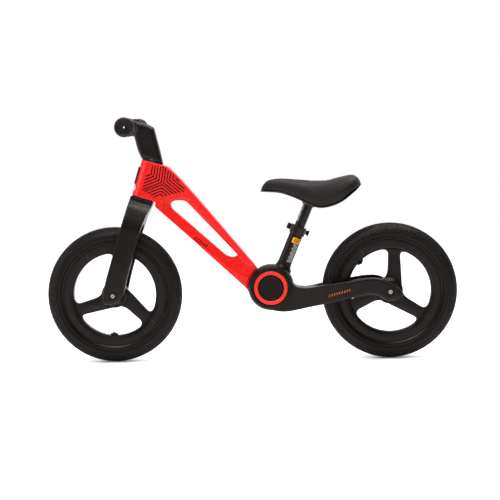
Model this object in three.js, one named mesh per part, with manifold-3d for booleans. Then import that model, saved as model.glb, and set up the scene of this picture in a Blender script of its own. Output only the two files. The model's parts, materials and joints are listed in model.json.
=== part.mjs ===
// A folding balance bike for a small child: two 12 inch wheels, a cast fork, a cast front
// frame that folds about a central hub, and a rear frame that carries the saddle.
//
// Millimetres. +X points to the back of the bike, +Y to the rider's right, +Z up.
// The origin is on the ground, midway between the two axles.

import * as THREE from 'three';
import { mergeVertices } from 'three/addons/utils/BufferGeometryUtils.js';
import Module from 'manifold-3d';

const wasm = await Module();
wasm.setup();

// ---------------------------------------------------------------- driving dimensions

const WHEELBASE = 600;
const GAP = 0.3; // left between touching pieces
const SEGMENTS = 20; // facets of a round piece, unless it says otherwise
const WELD = 1e-4; // corners closer than this are one corner

const TYRE = { radius: 147.5, halfWidth: 23, tread: 6, casing: 4.5, segments: 32 };
const RIM = { flange: 113, inner: 90, seat: 103, well: 100, halfWidth: 17, wall: 1.8 };
const HUB = { radius: 29, halfWidth: 37, neck: 19.5, flange: 15 };
const SPOKES = { count: 3, halfWidth: 13.2, offset: 11, halfThickness: 9 };
const VALVE = { radius: 3.2, flange: 7, frontAngle: 267.5, rearAngle: 135.5 };
const BEARING = { radius: 12, width: 7, inner: 5.4 };
const AXLE = { radius: 5, halfLength: 58.5, domeRadius: 4.5, dome: 2.4 };
const NUT = { radius: 7.1, recess: 7.6, depth: 6 };
const LEG = { inner: 44.5, outer: 58.5 }; // fork blades and stays, distance from the middle plane

const HEAD_ANGLE = THREE.MathUtils.degToRad(17); // steering axis from the vertical
const HEAD = { bottom: 220, top: 301, radius: 24, bore: 19 }; // measured from the front axle
const BADGE = { bottom: 245, top: 283, halfWidth: 11, thickness: 2.3 };
const STEERER = { radius: 14.3, inner: 11.5, bottom: 172, top: 318 };
const CROWN_TOP = 218;

// The bar's axis and the stem are placed along and across the steering axis, from the front axle.
const STEM = { foot: HEAD.top + 1.5, barX: -64.2, barZ: 360.5, headRadius: 16,
  boltAngle: THREE.MathUtils.degToRad(119.7) };
const BAR = { halfWidth: 190, radius: 11.1 };
const GRIP = { length: 98, radius: 15, flange: 21, collar: 20, vent: 2.6 };

const FOLD = { x: 42, z: 158 }; // the folding hub's axis, which runs along Y
const EYE = { radius: 42, halfWidth: 17.5 };
const CHEEK = { radius: 50, faceRadius: 46.5, inner: 18.3, outer: 32 };
const FOLD_STOPS = { closed: 124, open: 297 }; // the hub is open between these angles, in degrees
const BEAM = { halfWidth: 20, bevel: 5 };
const BUTTON = { radius: 27.4, face: 35.4, back: 27.5, floor: 22 };
const HUB_RING = { inner: 27.8, outer: 37, face: 36.2 };
const HUB_DISC = { outer: 45.5, face: 34.8 };
const SLEEVE = { radius: 8, inner: 4.5 };
const BUSH = { radius: 12 };
const LOCK_PIN = { radius: 3.5, distance: 20 };

const SEAT_ANGLE = THREE.MathUtils.degToRad(23); // seat tube from the vertical
const SEAT_TUBE = { x: 50.2, z: 158, radius: 15, bore: 11.5, bottom: 58, top: 139.5 };
const POST = { radius: 11.1, bottom: 84, top: 218 };
const CLAMP = { radius: 17.2, bottom: 124, top: 143, ear: 14, skewerY: 26, skewerZ: 134.5,
  leverX: -20.2 };

// ---------------------------------------------------------------- materials

const paint = (color, roughness, metalness = 0) =>
  new THREE.MeshStandardMaterial({ color, roughness, metalness });

const MATERIALS = {
  redPaint: paint(0xc3161c, 0.35),
  blackCasting: paint(0x1c1b1d, 0.5),
  blackPlastic: paint(0x18181a, 0.55),
  rubber: paint(0x1d1d1f, 0.85),
  grip: paint(0x161617, 0.7),
  steel: paint(0xb9bcc0, 0.3, 1),
  blackSteel: paint(0x222224, 0.4, 0.6),
  bronze: paint(0x9c7a45, 0.45, 0.8),
  saddle: paint(0x1f1e20, 0.55),
};

// ---------------------------------------------------------------- solids

/** A manifold solid made from a closed three.js geometry, with its faces pointing out. */
function solid(geometry) {
  const bare = geometry.clone();
  bare.deleteAttribute('normal');
  bare.deleteAttribute('uv');
  const merged = mergeVertices(bare, WELD);
  const corners = merged.attributes.position;
  const index = merged.index.array;
  const triangles = [];
  const [u, v, w] = [new THREE.Vector3(), new THREE.Vector3(), new THREE.Vector3()];
  let volume = 0;
  for (let i = 0; i < index.length; i += 3) {
    const [a, b, c] = index.slice(i, i + 3);
    if (a === b || b === c || c === a) continue; // a triangle that closed up on the axis
    triangles.push(a, b, c);
    u.fromBufferAttribute(corners, a);
    v.fromBufferAttribute(corners, b);
    w.fromBufferAttribute(corners, c);
    volume += u.dot(v.cross(w));
  }
  if (volume < 0) triangles.reverse();
  return new wasm.Manifold(new wasm.Mesh({
    numProp: 3,
    vertProperties: new Float32Array(corners.array),
    triVerts: new Uint32Array(triangles),
  }));
}

/** The three.js geometry of a manifold solid. */
function geometryOf(body) {
  const mesh = body.getMesh();
  const geometry = new THREE.BufferGeometry();
  geometry.setAttribute('position', new THREE.BufferAttribute(mesh.vertProperties, 3));
  geometry.setIndex(new THREE.BufferAttribute(mesh.triVerts, 1));
  return geometry;
}

const combined = (geometries, step) => geometryOf(geometries.map(solid).reduce(step));
const join = (...geometries) => combined(geometries, (a, b) => a.add(b));
const cut = (...geometries) => combined(geometries, (a, b) => a.subtract(b));
const common = (...geometries) => combined(geometries, (a, b) => a.intersect(b));

/** Adds one named piece to a group. */
function piece(group, name, geometry, material) {
  const mesh = new THREE.Mesh(geometryOf(solid(geometry)), MATERIALS[material].clone());
  mesh.name = name;
  group.add(mesh);
}

/** A group at a place in the middle plane, leaning back by an angle from the vertical. */
function groupAt(parent, x, z, angle = 0) {
  const group = new THREE.Group();
  group.position.set(x, 0, z);
  group.rotation.y = angle;
  parent.add(group);
  return group;
}

/** A closed outline. Each point is [x, y, c]; c is how far from the corner its rounding starts. */
function outline(points) {
  const shape = new THREE.Shape();
  points.forEach(([x, y, c = 0], i) => {
    const corner = new THREE.Vector2(x, y);
    const [before, after] = [points.at(i - 1), points[(i + 1) % points.length]]
      .map(([px, py]) => new THREE.Vector2(px, py).sub(corner).setLength(c).add(corner));
    if (i === 0) shape.moveTo(before.x, before.y);
    else shape.lineTo(before.x, before.y);
    if (c > 0) shape.quadraticCurveTo(x, y, after.x, after.y);
  });
  shape.closePath();
  return shape;
}

/** Outlines closed with their own mirror image: across the first axis, and across the second. */
const symmetricAcross = (half) => outline([...half, ...half.map(([x, y, c]) => [-x, y, c]).reverse()]);
const symmetricPlan = (half) => outline([...half, ...half.map(([x, y, c]) => [x, -y, c]).reverse()]);

const extruded = (shape, depth, options = {}) =>
  new THREE.ExtrudeGeometry(shape, { depth, bevelEnabled: false, curveSegments: 2, ...options });

/** An outline in X and Z, drawn through the width from y0 to y1. */
function sidePlate(shape, y0, y1, bevel = 0) {
  const edges = { bevelEnabled: bevel > 0, bevelSize: bevel, bevelThickness: bevel,
    bevelOffset: -bevel, bevelSegments: 1 };
  return extruded(shape, y1 - y0 - 2 * bevel, edges).translate(0, 0, bevel - y1).rotateX(Math.PI / 2);
}

/** An outline in X and Y, drawn up from z0 to z1. */
const planPlate = (shape, z0, z1) => extruded(shape, z1 - z0).translate(0, 0, z0);

/** An outline in Y and Z, drawn back from x0 to x1. */
const frontPlate = (shape, x0, x1) =>
  extruded(shape, x1 - x0).translate(0, 0, x0).rotateX(Math.PI / 2).rotateZ(Math.PI / 2);

/** A profile of [radius, along] points turned about the Y axis. */
function turned(profile, segments = SEGMENTS, phase = 0) {
  const points = profile.map(([r, along]) => new THREE.Vector2(r, along));
  if (profile[0][0] > 0) points.push(points[0].clone());
  return new THREE.LatheGeometry(points, segments, phase);
}

const ring = (inner, outer, y0, y1, segments) =>
  turned([[inner, y0], [outer, y0], [outer, y1], [inner, y1]], segments);
const rod = (radius, y0, y1, segments) =>
  turned([[0, y0], [radius, y0], [radius, y1], [0, y1]], segments);
const box = (x0, x1, y0, y1, z0, z1) =>
  new THREE.BoxGeometry(x1 - x0, y1 - y0, z1 - z0).translate((x0 + x1) / 2, (y0 + y1) / 2, (z0 + z1) / 2);

const standing = (geometry) => geometry.rotateX(Math.PI / 2); // from the Y axis to the Z axis
const pointing = (geometry) => geometry.rotateZ(-Math.PI / 2); // from the Y axis to the X axis
const mirrored = (half) => [...half, ...half.map(([r, along]) => [r, -along]).reverse()];

/** Leans a solid built about the Z axis onto the steering axis, or onto the seat tube. */
const steered = (geometry) =>
  geometry.rotateY(HEAD_ANGLE).translate(-WHEELBASE / 2, 0, TYRE.radius);
const onSeatTube = (geometry) => geometry.rotateY(SEAT_ANGLE).translate(SEAT_TUBE.x, 0, SEAT_TUBE.z);

/** Turns a solid about the Y axis, anticlockwise as the rider's left side is seen. */
const swung = (geometry, degrees) => geometry.rotateY(-THREE.MathUtils.degToRad(degrees));

/** Builds the same piece on both sides; build() makes the one on the rider's right (+Y). */
function bothSides(group, name, material, build) {
  piece(group, `${name}_right`, build(), material);
  piece(group, `${name}_left`, build().scale(1, -1, 1), material);
}

// ---------------------------------------------------------------- wheels

/** The tyre: a hollow casing, open towards the rim, with a flat facet where it meets the ground. */
function tyre() {
  const half = [
    [RIM.flange - 8, RIM.halfWidth - 2.1],
    [RIM.flange + 0.4, RIM.halfWidth - 2.1],
    [RIM.flange + 4, TYRE.halfWidth - 1.5],
    [130, TYRE.halfWidth],
    [142, TYRE.halfWidth - 5.5],
    [TYRE.radius, TYRE.tread],
  ];
  const inside = [
    [TYRE.radius - TYRE.casing, TYRE.tread],
    [130, TYRE.halfWidth - TYRE.casing],
    [RIM.flange - 8, RIM.halfWidth - 2.1 - TYRE.casing],
  ];
  const facet = (2 * Math.PI) / TYRE.segments;
  const widen = 1 / Math.cos(facet / 2); // so that the facets, not the corners, touch the ground
  const profile = [...half, ...half.map(([r, y]) => [r, -y]).reverse(),
    ...inside.map(([r, y]) => [r, -y]).reverse(), ...inside];
  return turned(profile.map(([r, y]) => [r * widen, y]), TYRE.segments, facet / 2);
}

/** The hoop that holds the tyre: a deep flat-sided ring with a well between two flanges. */
function hoop() {
  const half = [
    [RIM.inner, RIM.halfWidth - 4.5],
    [RIM.inner + 5, RIM.halfWidth - 0.5],
    [RIM.flange, RIM.halfWidth],
    [RIM.flange, RIM.halfWidth - RIM.wall],
    [RIM.seat, RIM.halfWidth - RIM.wall],
    [RIM.well, RIM.halfWidth - 6.5],
  ];
  return turned(mirrored(half), TYRE.segments, Math.PI / TYRE.segments);
}

/** One broad spoke, drawn towards +X; its middle line passes beside the axle. */
function spoke(offset) {
  const root = SPOKES.halfWidth + 2.3;
  const points = [
    [RIM.inner + 4, SPOKES.halfWidth + 11],
    [RIM.inner - 3, SPOKES.halfWidth + 2.4],
    [RIM.inner - 11, SPOKES.halfWidth],
    [30, root],
    [14, root],
    [10, -24],
    [28, -24],
    [34, -root - 2.8],
    [43, -root + 0.6],
    [RIM.inner - 11, -SPOKES.halfWidth],
    [RIM.inner - 3, -SPOKES.halfWidth - 2.4],
    [RIM.inner + 4, -SPOKES.halfWidth - 11],
  ];
  const side = Math.sign(offset);
  const shape = outline(points.map(([r, across]) => [r, side * across + offset]));
  return sidePlate(shape, -SPOKES.halfThickness, SPOKES.halfThickness);
}

/** The one-piece wheel: hoop, spokes and hub, with seats for two bearings and a valve hole. */
function rim(firstAngle, offset, valveAngle) {
  const { radius, halfWidth, neck, flange } = HUB;
  const barrel = turned([[0, -halfWidth], [neck, -halfWidth], [neck, -flange - 7], [radius, -flange],
    [radius, flange], [neck, flange + 7], [neck, halfWidth], [0, halfWidth]], 16);
  const spokes = Array.from({ length: SPOKES.count }, (_, i) =>
    swung(spoke(offset), firstAngle + (360 / SPOKES.count) * i));
  const seats = [-1, 1].map((side) => rod(BEARING.radius + 0.2, side * (halfWidth - BEARING.width - 0.6),
    side * (halfWidth + 1), 16));
  const hole = swung(pointing(rod(VALVE.radius + 0.4, RIM.inner - 8, RIM.flange, 12)), valveAngle);
  return cut(join(hoop(), barrel, ...spokes), rod(AXLE.radius + 1.5, -halfWidth - 1, halfWidth + 1, 16),
    ...seats, hole);
}

/** The valve: a stem through the rim with a round foot on its inner face. */
function valve(angle) {
  const r = VALVE.radius;
  const foot = RIM.inner * Math.cos(Math.PI / TYRE.segments) - GAP - 0.8;
  const profile = [[0, foot - 5.5], [r, foot - 5.5], [r + 0.3, foot - 2.6], [VALVE.flange, foot - 2.6],
    [VALVE.flange, foot], [r, foot], [r, RIM.well + 1.5], [0, RIM.well + 1.5]];
  return swung(pointing(turned(profile, 12)), angle);
}

function addWheel(group, prefix, firstAngle, offset, valveAngle) {
  piece(group, `${prefix}_tyre`, tyre(), 'rubber');
  piece(group, `${prefix}_rim`, rim(firstAngle, offset, valveAngle), 'blackPlastic');
  piece(group, `${prefix}_valve`, valve(valveAngle), 'blackPlastic');
  bothSides(group, `${prefix}_bearing`, 'steel', () =>
    ring(BEARING.inner, BEARING.radius, HUB.halfWidth - BEARING.width, HUB.halfWidth, 16));
}

/** The fixed axle of a wheel: a rod, a spacer each side of the hub, and a nut sunk in each leg. */
function addAxle(group, prefix) {
  const { radius, halfLength, domeRadius, dome } = AXLE;
  const end = halfLength + dome;
  piece(group, `${prefix}_axle`, turned([[0, -end], [domeRadius - 2, -end], [domeRadius, -halfLength],
    [radius, -halfLength + 1], [radius, halfLength - 1], [domeRadius, halfLength],
    [domeRadius - 2, end], [0, end]], 12), 'steel');
  bothSides(group, `${prefix}_spacer`, 'blackSteel', () =>
    ring(radius + GAP, 8.5, HUB.halfWidth + GAP, LEG.inner - GAP, 12));
  bothSides(group, `${prefix}_nut`, 'steel', () =>
    cut(rod(NUT.radius, LEG.outer - NUT.depth + GAP, LEG.outer - 0.8, 6), rod(radius + GAP, 40, 60, 12)));
}

const axleHoles = () => [
  rod(AXLE.radius + GAP, -70, 70, 12),
  rod(NUT.recess, LEG.outer - NUT.depth, 70, 12),
  rod(NUT.recess, -70, NUT.depth - LEG.outer, 12),
];

// ---------------------------------------------------------------- fork, stem and handlebar

/** The fork: two flat blades and the crown, cast in one, with a socket for the steerer. */
function fork() {
  const side = outline([[-24.5, CROWN_TOP], [-24.5, 30], [-23, 8], [-19, -17], [-13, -22.3, 3],
    [3, -19.5, 6], [16, -8.5, 5], [22, 6, 4], [19, 48], [17.5, 145], [20, 184], [25.5, 210],
    [25.5, CROWN_TOP]]);
  const front = symmetricAcross([[LEG.outer, -30], [LEG.outer, 60], [54, 160, 14], [40, 196, 10],
    [24, 209], [24, CROWN_TOP + 1]]);
  const arch = symmetricAcross([[LEG.inner, -31], [LEG.inner, 60], [40, 146, 12], [28, 164, 8]]);
  const blades = common(sidePlate(side, -LEG.outer, LEG.outer, 4), frontPlate(front, -40, 40));
  return cut(blades, frontPlate(arch, -41, 41), ...axleHoles(),
    standing(rod(STEERER.radius + GAP, STEERER.bottom - GAP, CROWN_TOP + 1)));
}

/** The one-piece stem: a thick neck that leans forward to the bar. */
function stem() {
  const neck = outline([[-25, STEM.foot], [24, STEM.foot], [4.1, 337.4], [-17.4, 373.6, 5],
    [-35, 377.5], [STEM.barX, STEM.barZ + STEM.headRadius], [STEM.barX, STEM.barZ], [-56, 349],
    [-37.3, 316.5]]);
  const barHead = rod(STEM.headRadius, -22, 22).translate(STEM.barX, 0, STEM.barZ);
  return cut(join(sidePlate(neck, -19, 19, 4), barHead),
    rod(BAR.radius + GAP, -30, 30).translate(STEM.barX, 0, STEM.barZ),
    standing(rod(STEERER.radius + GAP, STEM.foot - 5, STEERER.top + GAP)),
    inStemFront(rod(5, -12, 6, 16)));
}

/** Moves a solid about the Y axis to the bolt hole in the front of the stem. */
const inStemFront = (geometry) => standing(geometry).rotateY(-STEM.boltAngle).translate(-46.5, 0, 333.5);

/** The grip: a soft sleeve with a flange at each end, a closed outer end and a small vent. */
function grip() {
  const { length, radius, flange, collar, vent } = GRIP;
  const [outer, inner] = [BAR.halfWidth, BAR.halfWidth - length];
  const barEnd = outer - 4;
  return turned([[vent, barEnd], [BAR.radius + GAP, barEnd], [BAR.radius + GAP, inner], [collar, inner],
    [collar, inner + 6], [radius - 0.5, inner + 12], [radius, outer - 12],
    [flange, outer - 8], [flange, outer - 3.5], [flange - 5, outer], [vent, outer]], 16);
}

function addSteering(group) {
  const bore = STEERER.radius + GAP;
  const atBar = (geometry) => geometry.translate(STEM.barX, 0, STEM.barZ);
  const socketBolt = turned([[0, -11.5], [4.4, -11.5], [4.4, -4], [2.2, -4], [2.2, -8], [0, -8]], 12);
  piece(group, 'fork', fork(), 'blackCasting');
  const tube = ring(STEERER.inner, STEERER.radius, STEERER.bottom, STEERER.top);
  piece(group, 'steerer', standing(tube), 'steel');
  piece(group, 'crown_race', standing(ring(bore, 23, CROWN_TOP + GAP, HEAD.bottom - GAP)), 'blackSteel');
  piece(group, 'headset_cover', standing(ring(bore, 23.5, HEAD.top + GAP, STEM.foot - GAP)), 'blackSteel');
  piece(group, 'stem', stem(), 'blackCasting');
  piece(group, 'stem_bolt', inStemFront(socketBolt), 'blackSteel');
  const barEnd = BAR.halfWidth - 4.4;
  piece(group, 'handlebar', atBar(ring(BAR.radius - 2.5, BAR.radius, -barEnd, barEnd)), 'blackSteel');
  bothSides(group, 'grip', 'grip', () => atBar(grip()));
}

// ---------------------------------------------------------------- front frame

/** The front half of the frame: the head tube, two beams around a long slot, and the hinge eye. */
function frontFrame() {
  const side = outline([[-212, 343], [-205, 432], [-188, 430], [-174.6, 421], [-160.5, 407.6],
    [-125.7, 368], [6.3, 209], [17, 193], [FOLD.x, FOLD.z], [2, 145], [-6.7, 146.8], [-11.6, 156.9],
    [-168.9, 303.4], [-199, 330]]);
  const slot = outline([[-172, 334, 5], [-175, 344, 4], [-166, 351, 6], [-141.3, 351, 10], [-29, 227, 12],
    [-52.3, 227, 9]]);
  const headTube = steered(standing(rod(HEAD.radius, HEAD.bottom, HEAD.top, 24)));
  const eye = rod(EYE.radius, -EYE.halfWidth, EYE.halfWidth, 28).translate(FOLD.x, 0, FOLD.z);
  const cheekRoom = (y0, y1) => rod(CHEEK.radius + 1.2, y0, y1, 28).translate(FOLD.x, 0, FOLD.z);
  const pinGroove = ring(LOCK_PIN.distance - 4.5, LOCK_PIN.distance + 4.5, -EYE.halfWidth - 1, -12);
  const crownRoom = steered(standing(rod(38, HEAD.bottom - 60, HEAD.bottom)));
  const beams = cut(sidePlate(side, -BEAM.halfWidth, BEAM.halfWidth, BEAM.bevel),
    cheekRoom(EYE.halfWidth, 40), cheekRoom(-40, -EYE.halfWidth),
    steered(box(-70, 70, -40, 40, HEAD.top, HEAD.top + 60)), crownRoom);
  return cut(join(beams, headTube, eye),
    sidePlate(slot, -40, 40),
    steered(standing(rod(HEAD.bore, HEAD.bottom - 1, HEAD.top + 1, 24))),
    rod(BUSH.radius + GAP, -40, 40).translate(FOLD.x, 0, FOLD.z),
    pinGroove.translate(FOLD.x, 0, FOLD.z));
}

/** The plate on the front of the head tube, curved to fit it. */
function headBadge() {
  const { bottom, top, halfWidth, thickness } = BADGE;
  const inner = HEAD.radius + GAP;
  const plate = standing(ring(inner, inner + thickness, bottom, top, 48));
  return common(plate, box(-40, -10, -halfWidth, halfWidth, bottom - 1, top + 1));
}

function addFrontFrame(group, steering) {
  piece(group, 'front_frame', frontFrame(), 'redPaint');
  bothSides(group, 'hinge_bush', 'bronze', () =>
    ring(SLEEVE.radius + GAP, BUSH.radius, 1, EYE.halfWidth - GAP).translate(FOLD.x, 0, FOLD.z));
  for (const [name, start] of [['lower', HEAD.bottom + 1], ['upper', HEAD.top - 8]])
    piece(steering, `headset_bearing_${name}`,
      standing(ring(STEERER.radius + GAP, HEAD.bore - 0.5, start, start + 7)), 'steel');
  piece(steering, 'head_badge', headBadge(), 'blackPlastic');
}

// ---------------------------------------------------------------- rear frame and folding hub

/** A wedge about the fold axis from one angle to another, seen from the rider's left. */
function wedge(radius, fromDegrees, toDegrees, y0, y1) {
  const steps = Math.ceil((toDegrees - fromDegrees) / 15);
  const rimPoints = Array.from({ length: steps + 1 }, (_, i) => {
    const angle = THREE.MathUtils.degToRad(fromDegrees + ((toDegrees - fromDegrees) * i) / steps);
    return [FOLD.x + radius * Math.cos(angle), FOLD.z + radius * Math.sin(angle)];
  });
  return sidePlate(outline([[FOLD.x, FOLD.z], ...rimPoints]), y0, y1);
}

/** The rear half of the frame: two hub cheeks, the seat tube and two stays, cast in one. */
function rearFrame() {
  const { radius, faceRadius, inner, outer } = CHEEK;
  const side = outline([[FOLD.x, FOLD.z], [78, 182], [86, 171, 5], [97, 157.5, 6], [120, 156.5, 6],
    [171, 166], [250, 178.5, 10], [276, 178, 10], [305, 165, 6], [326, 147, 5], [326, 137, 4],
    [314, 129.5, 6], [293, 127.5, 5], [274, 140.5, 8], [256, 143.5, 8], [215, 136], [127, 116],
    [78, 106], [52, 106.5], [FOLD.x, 110]]);
  const plan = symmetricPlan([[-20, outer], [92, outer], [135, 46, 12], [165, 57, 10], [200, LEG.outer],
    [340, LEG.outer], [340, LEG.inner], [200, LEG.inner], [168, 41, 8], [146, 28, 8], [138, 14, 6]]);
  const stays = common(sidePlate(side, -LEG.outer, LEG.outer, 4), planPlate(plan, 80, 200));
  const drum = turned(mirrored([[0, outer], [faceRadius, outer], [radius, outer - 5]].reverse()), 32);
  const tube = onSeatTube(standing(rod(SEAT_TUBE.radius, 40, SEAT_TUBE.top)));
  const toHub = (geometry) => geometry.translate(FOLD.x, 0, FOLD.z);
  return cut(join(stays, toHub(drum), tube),
    toHub(rod(EYE.radius + 1.5, -inner, inner, 28)),
    wedge(75, FOLD_STOPS.closed, FOLD_STOPS.open, -inner, inner),
    toHub(rod(SLEEVE.radius + GAP, -60, 60)),
    toHub(rod(BUTTON.radius + 0.6, -outer - 1, -BUTTON.floor, 24)),
    toHub(rod(LOCK_PIN.radius + GAP, -BUTTON.floor - 1, -inner + 1, 12).translate(0, 0, LOCK_PIN.distance)),
    onSeatTube(standing(rod(SEAT_TUBE.bore, SEAT_TUBE.bottom, SEAT_TUBE.top + 1))),
    onSeatTube(box(-1.2, 1.2, 5, 20, CLAMP.bottom + 4, SEAT_TUBE.top + 1)),
    ...axleHoles().map((hole) => hole.translate(WHEELBASE / 2, 0, TYRE.radius)));
}

/** The round push button of the fold lock, with its pin, on the rider's left. */
function foldButton() {
  const { radius, face, back } = BUTTON;
  const cap = turned([[0, -face], [radius - 4, -face], [radius, -face + 2], [radius, -back],
    [0, -back]], 24);
  const pin = rod(LOCK_PIN.radius, -back - 1, -EYE.halfWidth - GAP, 12);
  return join(cap, pin.translate(0, 0, LOCK_PIN.distance));
}

function addHub(group) {
  const { outer } = CHEEK;
  const { radius, face } = BUTTON;
  piece(group, 'hinge_sleeve', ring(SLEEVE.inner, SLEEVE.radius, GAP - BUTTON.floor, outer - GAP), 'steel');
  piece(group, 'fold_button', foldButton(), 'blackPlastic');
  piece(group, 'hub_cap_right', turned([[0, outer + GAP], [radius, outer + GAP], [radius, face - 2],
    [radius - 4, face], [0, face]], 24), 'blackPlastic');
  bothSides(group, 'hub_ring', 'redPaint', () =>
    ring(HUB_RING.inner, HUB_RING.outer, outer + GAP, HUB_RING.face, 24));
  bothSides(group, 'hub_disc', 'blackPlastic', () =>
    ring(HUB_RING.outer + 0.4, HUB_DISC.outer, outer + GAP, HUB_DISC.face, 24));
}

// ---------------------------------------------------------------- seat clamp and saddle

/** The clamp: a collar over the top of the seat tube, split on the rider's right between two ears. */
function clampCollar() {
  const { radius, bottom, top, ear, skewerY, skewerZ } = CLAMP;
  const lip = SEAT_TUBE.top + 0.5;
  const collar = (inner, lipInner, outer) => standing(turned([[inner, bottom], [outer, bottom],
    [outer, top], [lipInner, top], [lipInner, lip], [inner, lip]]));
  const ears = box(-ear, ear, SEAT_TUBE.radius, skewerY + 5,
    skewerZ - 7, skewerZ + 7);
  const tubeRoom = standing(rod(SEAT_TUBE.radius + GAP, bottom - 1, lip));
  const inner = SEAT_TUBE.radius + GAP;
  return cut(join(collar(inner, POST.radius + 0.8, radius), cut(ears, tubeRoom)),
    box(-1.2, 1.2, 5, 40, bottom - 1, top + 1),
    pointing(rod(2.8, -20, 20, 12)).translate(0, skewerY, skewerZ));
}

/** The cam lever of the clamp: a barrel in front of the ears and an arm folded along them. */
function clampLever() {
  const { leverX, skewerY, skewerZ } = CLAMP;
  const arm = outline([[leverX - 3.5, skewerY], [leverX - 3.5, 33], [leverX + 1, 37, 3], [14, 36, 2],
    [18, 33.5, 1], [12, 32, 1], [-14.6, 32], [-15.2, 28]]);
  const barrel = standing(rod(5.7, skewerZ - 6.5, skewerZ + 6.5, 16)).translate(leverX, skewerY, 0);
  return join(planPlate(arm, skewerZ - 4.5, skewerZ + 4.5), barrel);
}

function addClamp(group) {
  const along = (geometry) => pointing(geometry).translate(0, CLAMP.skewerY, CLAMP.skewerZ);
  piece(group, 'clamp_collar', clampCollar(), 'blackSteel');
  piece(group, 'clamp_lever', clampLever(), 'blackSteel');
  piece(group, 'clamp_skewer', along(rod(2.4, -13.8, 26, 12)), 'steel');
  piece(group, 'clamp_nut', along(turned([[2.8, 14.4], [6.5, 14.4], [6.5, 16.5], [4.6, 18.5], [4.6, 20],
    [7, 25], [2.8, 25]], 16)), 'blackSteel');
}

/** A solid skinned over a row of closed rings with equally many points. */
function skinned(rings) {
  const count = rings[0].length;
  const index = [];
  for (let r = 0; r + 1 < rings.length; r += 1) {
    for (let i = 0; i < count; i += 1) {
      const [a, b] = [r * count + i, r * count + ((i + 1) % count)];
      index.push(a, b, b + count, a, b + count, a + count);
    }
  }
  const last = (rings.length - 1) * count;
  for (let i = 1; i + 1 < count; i += 1) index.push(0, i + 1, i, last, last + i, last + i + 1);
  const geometry = new THREE.BufferGeometry();
  geometry.setAttribute('position', new THREE.Float32BufferAttribute(rings.flat(2), 3));
  geometry.setIndex(index);
  return geometry;
}

// Along the saddle from nose to tail: x, top, lower edge and half width.
const SADDLE = [
  [22.5, 370, 366.5, 6],
  [28, 381, 366.2, 15],
  [40, 391.2, 365.6, 22],
  [66, 394.3, 363, 27],
  [100, 390.5, 351, 34],
  [140, 387, 332, 46],
  [170, 388, 332, 57],
  [200, 395.8, 344, 66],
  [222, 400.3, 360.5, 65],
  [234, 394, 371, 55],
  [240.5, 384, 378.5, 38],
];
const SHELL = { thickness: 6, inset: 2, socket: 16 };

/** The pad: crowned across its width, with sides that drop to the shell's edge. */
function cushion() {
  const rings = SADDLE.map(([x, top, edge, half]) => {
    const base = Math.min(edge + SHELL.thickness + GAP, (top + edge) / 2);
    const rise = top - base;
    const right = [[half * 0.9, base], [half, base + rise * 0.45], [half * 0.86, base + rise * 0.8],
      [half * 0.5, base + rise * 0.96]];
    const left = right.map(([y, z]) => [-y, z]).reverse();
    return [...right, [0, top], ...left].map(([y, z]) => [x, y, z]);
  });
  return cut(skinned(rings), onSeatTube(standing(rod(SHELL.socket + GAP + 0.2, 170, POST.top + 4))));
}

/** The hard shell under the pad, with the socket that takes the seat post. */
function saddleShell() {
  const rings = SADDLE.slice(1, -1).map(([x, , edge, half]) => {
    const [low, high] = [half * 0.84, half * 0.9 - SHELL.inset];
    return [[low, edge], [high, edge + SHELL.thickness], [-high, edge + SHELL.thickness], [-low, edge]]
      .map(([y, z]) => [x, y, z]);
  });
  const socket = onSeatTube(standing(rod(SHELL.socket, 196, POST.top + 3.5)));
  return cut(join(skinned(rings), socket),
    onSeatTube(standing(rod(POST.radius + GAP + 0.1, 150, POST.top + GAP))));
}

function addSaddle(group, seatTube) {
  const post = ring(POST.radius - 2.2, POST.radius, POST.bottom, POST.top);
  piece(seatTube, 'seat_post', standing(post), 'blackSteel');
  piece(group, 'saddle_shell', saddleShell(), 'blackPlastic');
  piece(group, 'saddle_pad', cushion(), 'saddle');
}

// ---------------------------------------------------------------- the bike

const bike = new THREE.Group();
const frontAxle = groupAt(bike, -WHEELBASE / 2, TYRE.radius);
const rearAxle = groupAt(bike, WHEELBASE / 2, TYRE.radius);
const steering = groupAt(bike, -WHEELBASE / 2, TYRE.radius, HEAD_ANGLE);
const hub = groupAt(bike, FOLD.x, FOLD.z);
const seatTube = groupAt(bike, SEAT_TUBE.x, SEAT_TUBE.z, SEAT_ANGLE);

addWheel(frontAxle, 'front', 75, SPOKES.offset, VALVE.frontAngle);
addWheel(rearAxle, 'rear', 90, -SPOKES.offset, VALVE.rearAngle);
addAxle(frontAxle, 'front');
addAxle(rearAxle, 'rear');
addSteering(steering);
addFrontFrame(bike, steering);
piece(bike, 'rear_frame', rearFrame(), 'blackCasting');
addHub(hub);
addClamp(seatTube);
addSaddle(bike, seatTube);

export default bike;
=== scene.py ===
"""A folding balance bike for a small child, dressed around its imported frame.

Builders work in millimetres, in the frame of the sub-part they make, and a placing matrix
turns that into metres in the bike's own frame: +X to the back, +Y to the rider's right, +Z up.
"""
import json
from math import asin, atan2, cos, degrees, pi, radians, sin, sqrt, tan

import bmesh
import bpy
from mathutils import Matrix, Vector
from mathutils.bvhtree import BVHTree


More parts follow.
